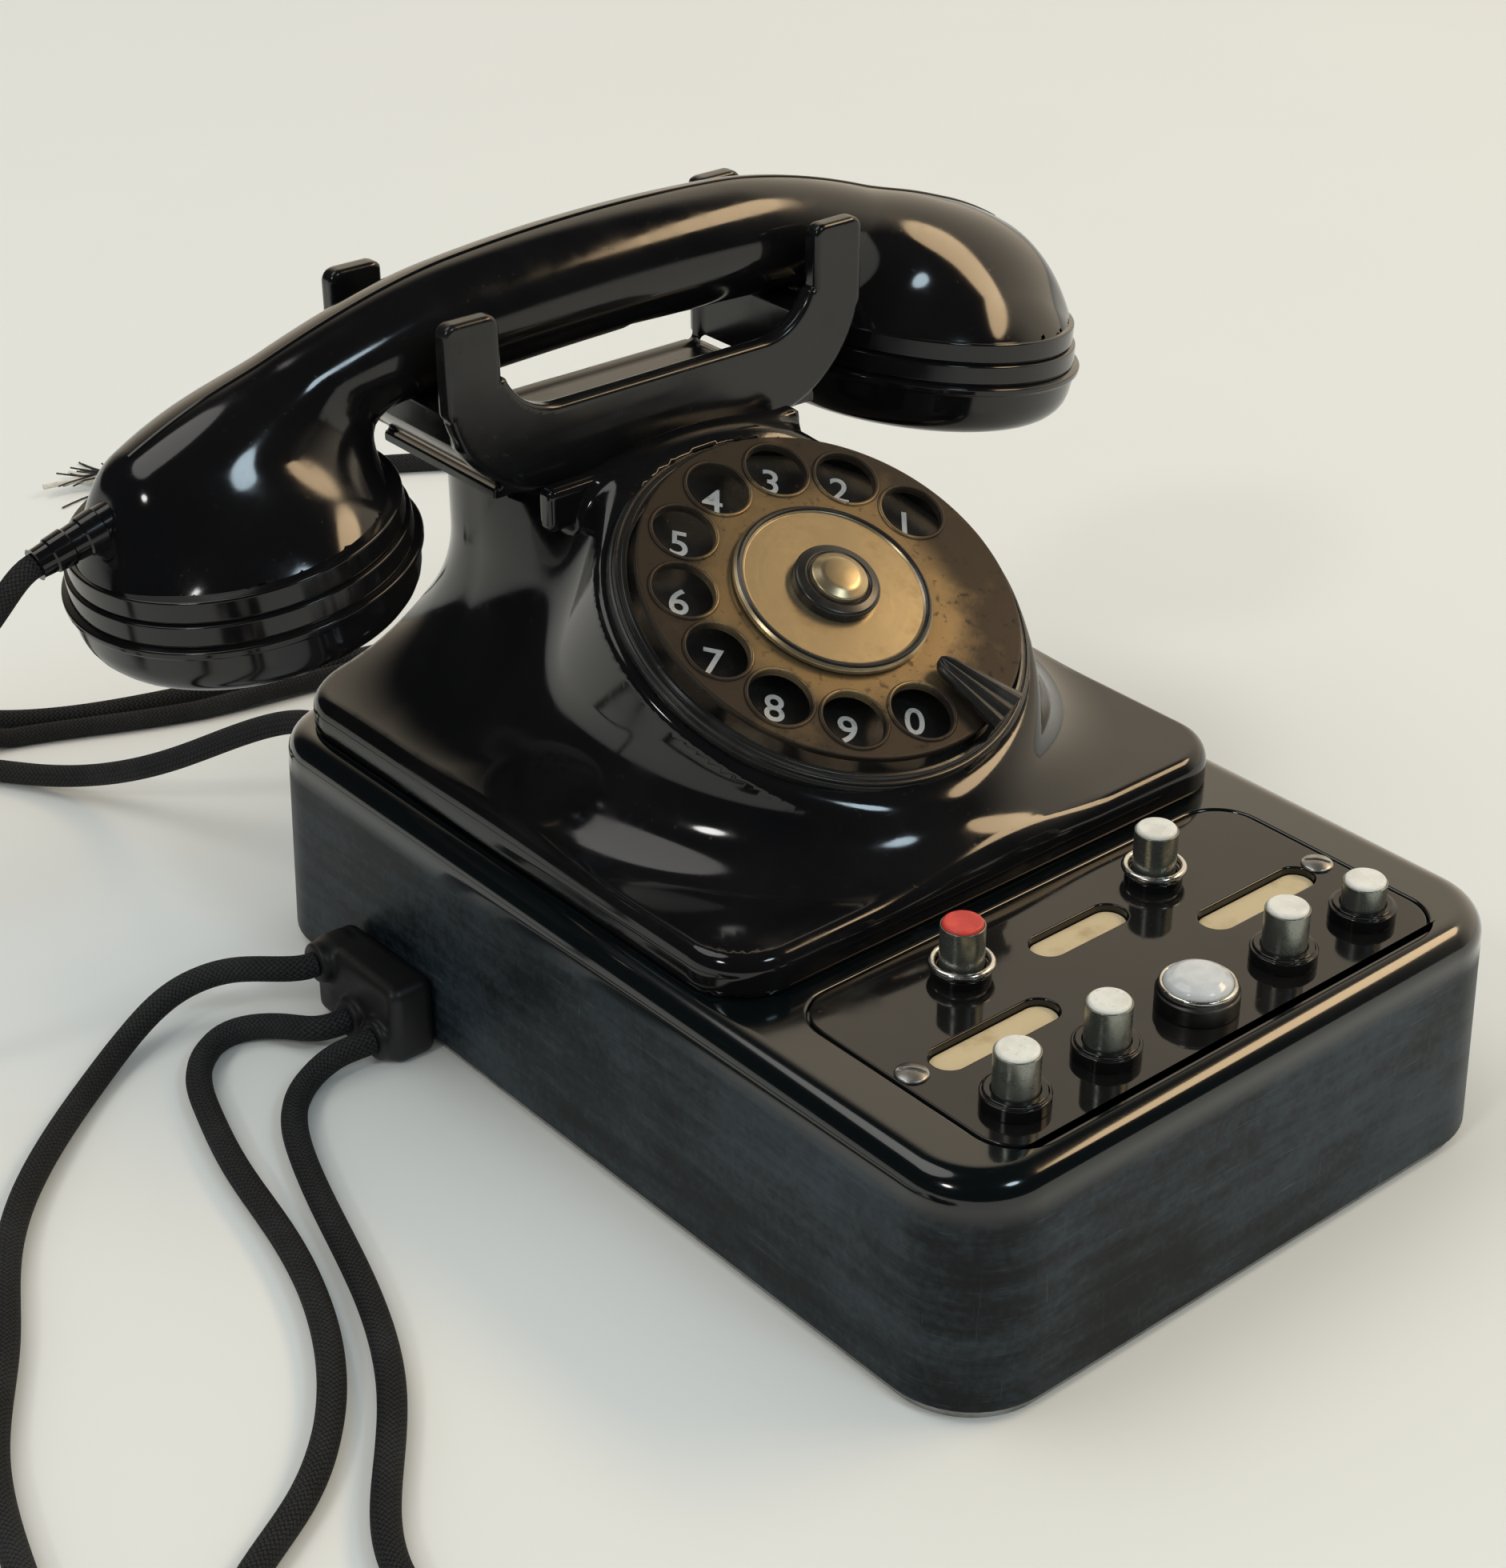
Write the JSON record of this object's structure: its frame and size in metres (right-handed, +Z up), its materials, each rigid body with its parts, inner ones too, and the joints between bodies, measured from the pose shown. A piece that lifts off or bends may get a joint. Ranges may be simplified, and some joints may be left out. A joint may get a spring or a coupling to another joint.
{
  "type": "desk telephone",
  "caption": "Black bakelite rotary desk telephone on an intercom box with push keys, a signal lamp, braided cords and a lift-off handset in a pronged cradle.",
  "frame": {"origin": "middle of the bottom plate's underside, on the table", "axes": "+Z up, +X to the right of someone facing the dial, the dial faces -Y"},
  "size_m": [0.3638, 0.4708, 0.1452],
  "materials": {
    "box_bakelite": "satin black bakelite, lightly scuffed",
    "bakelite": "polished black bakelite",
    "steel": "dull steel",
    "plated": "worn plating",
    "card": "aged cream card",
    "cream_cap": "cream plastic",
    "red_cap": "red plastic",
    "brass": "brass",
    "dark_metal": "blackened metal, milled",
    "lens": "frosted white glass",
    "bulb_glass": "clear glass",
    "rubber": "black rubber",
    "winding": "lacquered wire and tape",
    "board": "brown board",
    "dial_black": "black enamel, worn",
    "wheel_bronze": "dark bronzed metal, worn",
    "card_bronze": "brushed bronze",
    "cloth": "black braided cloth"
  },
  "bodies": {
    "phone": {"base_shell": "box_bakelite", "base_plate": "steel", "case_screws": "plated", "key_panel": "bakelite", "panel_screws": "plated", "label_cards": "card", "key_collars": "bakelite", "collar_rings": "plated", "key_bracket": "steel", "contact_springs": "brass", "lamp_ring": "dark_metal", "lamp_lens": "lens", "lamp_bulb": "bulb_glass", "lamp_holder": "brass", "side_gland": "rubber", "rear_grommets": "rubber", "ringer_frame": "steel", "ringer_coils": "winding", "gongs": "brass", "induction_coil": "winding", "condenser": "steel", "terminal_strip": "board", "body_shell": "bakelite", "dial_bezel": "dial_black", "number_ring": "dial_black", "finger_stop": "dial_black", "dial_plate": "steel", "dial_back_plate": "steel", "handset_cord": "cloth", "line_cord": "cloth", "loop_cord": "cloth", "station_cord": "cloth", "cord_coil": "cloth", "cord_plug": "bakelite"},
    "dial": {"finger_wheel": "wheel_bronze", "card_disc": "card_bronze", "centre_button": "dial_black", "dial_shaft": "steel", "main_gear": "brass"},
    "governor": {"governor": "brass"},
    "cradle": {"cradle": "bakelite", "cradle_plunger": "steel"},
    "handset": {"handset_shell": "bakelite", "ear_cap": "bakelite", "mouth_cap": "bakelite", "capsules": "steel", "handset_boot": "rubber"},
    "clapper": {"clapper": "steel"},
    "key_1": {"key_stem_1": "plated", "key_cap_1": "cream_cap"},
    "key_2": {"key_stem_2": "plated", "key_cap_2": "cream_cap"},
    "key_3": {"key_stem_3": "plated", "key_cap_3": "cream_cap"},
    "key_4": {"key_stem_4": "plated", "key_cap_4": "cream_cap"},
    "key_5": {"key_stem_5": "plated", "key_cap_5": "red_cap"},
    "key_6": {"key_stem_6": "plated", "key_cap_6": "cream_cap"}
  },
  "joints": [
    {"name": "handset_lift", "type": "slide", "parent": "phone", "child": "handset", "axis": [0, 0, 1], "range_m": [0, 0.12]},
    {"name": "cradle_rise", "type": "slide", "parent": "phone", "child": "cradle", "axis": [0, 0, 1], "range_m": [0, 0.005]},
    {"name": "dial_turn", "type": "hinge", "parent": "phone", "child": "dial", "pos_m": [0, 0.0072, 0.0895], "axis": [0, 0.4848, -0.8746], "range_deg": [0, 325], "stiffness_Nm_per_rad": 0.006, "springref_deg": -28.65},
    {"name": "governor_spin", "type": "hinge", "parent": "phone", "child": "governor", "pos_m": [0, 0.02907, 0.10162], "axis": [0, 0.4848, -0.8746], "range_deg": [-1310, 10]},
    {"name": "left_outer_key", "type": "slide", "parent": "phone", "child": "key_1", "axis": [0, 0, -1], "range_m": [0, 0.004], "stiffness_N_per_m": 150, "springref_m": -0.004},
    {"name": "left_inner_key", "type": "slide", "parent": "phone", "child": "key_2", "axis": [0, 0, -1], "range_m": [0, 0.004], "stiffness_N_per_m": 150, "springref_m": -0.004},
    {"name": "right_inner_key", "type": "slide", "parent": "phone", "child": "key_3", "axis": [0, 0, -1], "range_m": [0, 0.004], "stiffness_N_per_m": 150, "springref_m": -0.004},
    {"name": "latched_key", "type": "slide", "parent": "phone", "child": "key_4", "axis": [0, 0, 1], "range_m": [0, 0.003]},
    {"name": "red_key", "type": "slide", "parent": "phone", "child": "key_5", "axis": [0, 0, -1], "range_m": [0, 0.004], "stiffness_N_per_m": 150, "springref_m": -0.004},
    {"name": "rear_white_key", "type": "slide", "parent": "phone", "child": "key_6", "axis": [0, 0, -1], "range_m": [0, 0.004], "stiffness_N_per_m": 150, "springref_m": -0.004},
    {"name": "clapper_swing", "type": "hinge", "parent": "phone", "child": "clapper", "pos_m": [0, 0.074, 0.028], "axis": [0, 0, 1], "range_deg": [-1.8, 1.8], "stiffness_Nm_per_rad": 0.004}
  ],
  "couplings": [
    {"joint": "cradle_rise", "follows": "handset_lift", "ratio": 0.035},
    {"joint": "governor_spin", "follows": "dial_turn", "ratio": -4}
  ]
}
